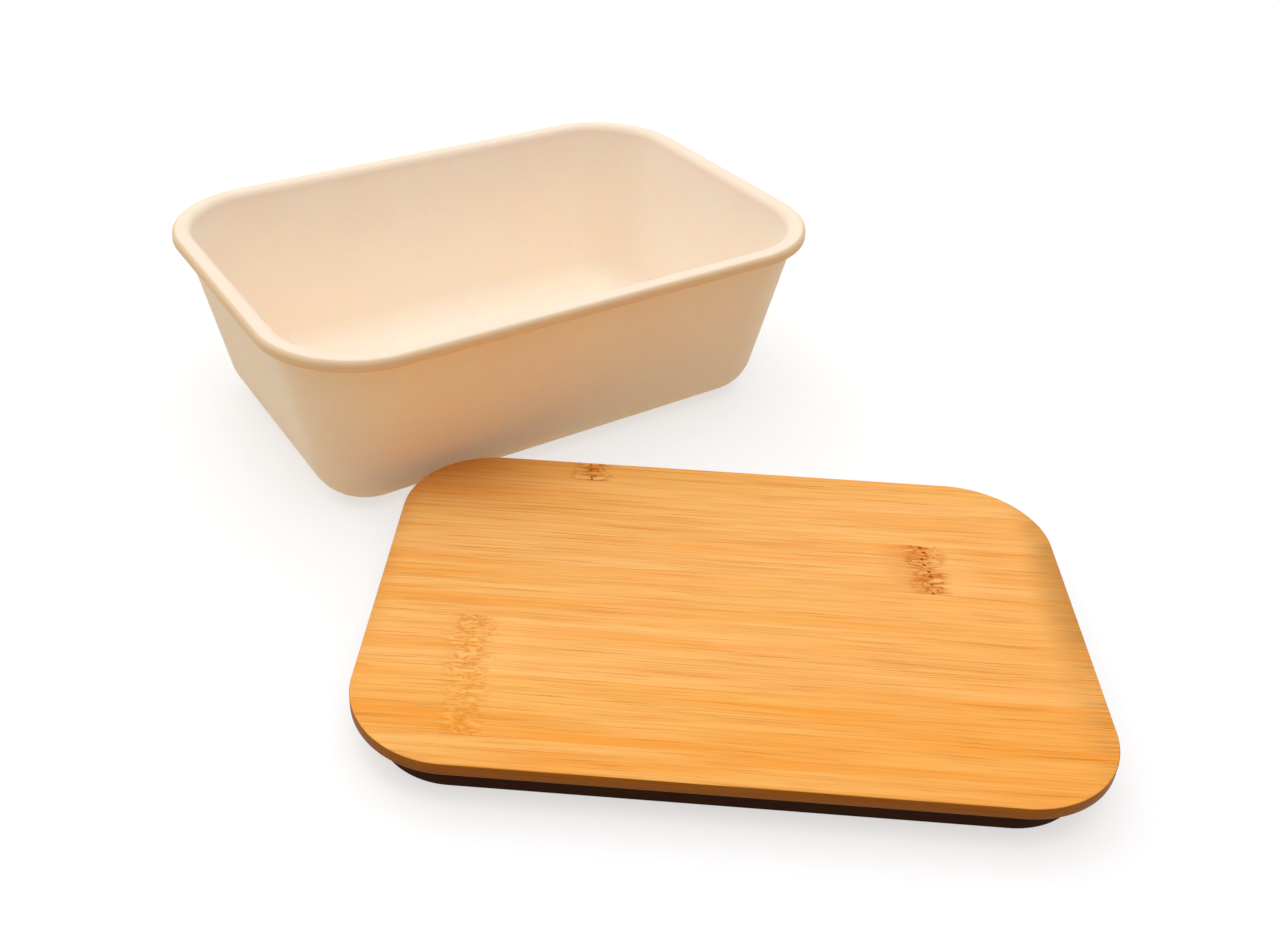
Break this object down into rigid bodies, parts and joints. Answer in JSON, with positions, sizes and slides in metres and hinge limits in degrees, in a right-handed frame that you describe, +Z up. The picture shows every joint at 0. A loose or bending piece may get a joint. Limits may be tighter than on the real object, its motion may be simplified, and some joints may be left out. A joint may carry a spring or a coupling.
{
  "type": "lunch box",
  "caption": "Rectangular lunch box: a tapered moulded tub with rounded corners and a rolled lip, and a lift-off bamboo lid with a silicone seal round its plug.",
  "frame": {"origin": "centre of the tub's flat underside, on the surface that the tub and the lid stand on", "axes": "+X along the tub's long side, +Y across it and away from the lid, +Z up out of the tub's mouth"},
  "size_m": [0.1976, 0.293, 0.0588],
  "materials": {
    "tub_plastic": "fine matte moulding, cream",
    "bamboo": "sanded and oiled, warm honey",
    "bamboo_plug": "sanded, honey brown",
    "seal_silicone": "dark brown, satin"
  },
  "bodies": {
    "tub": {"tub": "tub_plastic"},
    "lid": {"lid_strip_1": "bamboo", "lid_strip_2": "bamboo", "lid_strip_3": "bamboo", "lid_strip_4": "bamboo", "lid_strip_5": "bamboo", "lid_strip_6": "bamboo", "lid_strip_7": "bamboo", "lid_plug": "bamboo_plug", "lid_seal": "seal_silicone"}
  },
  "joints": [
    {"name": "lid_lift", "type": "slide", "parent": "tub", "child": "lid", "axis": [0, -0.5, 0.866], "range_m": [0, 0.08]}
  ]
}
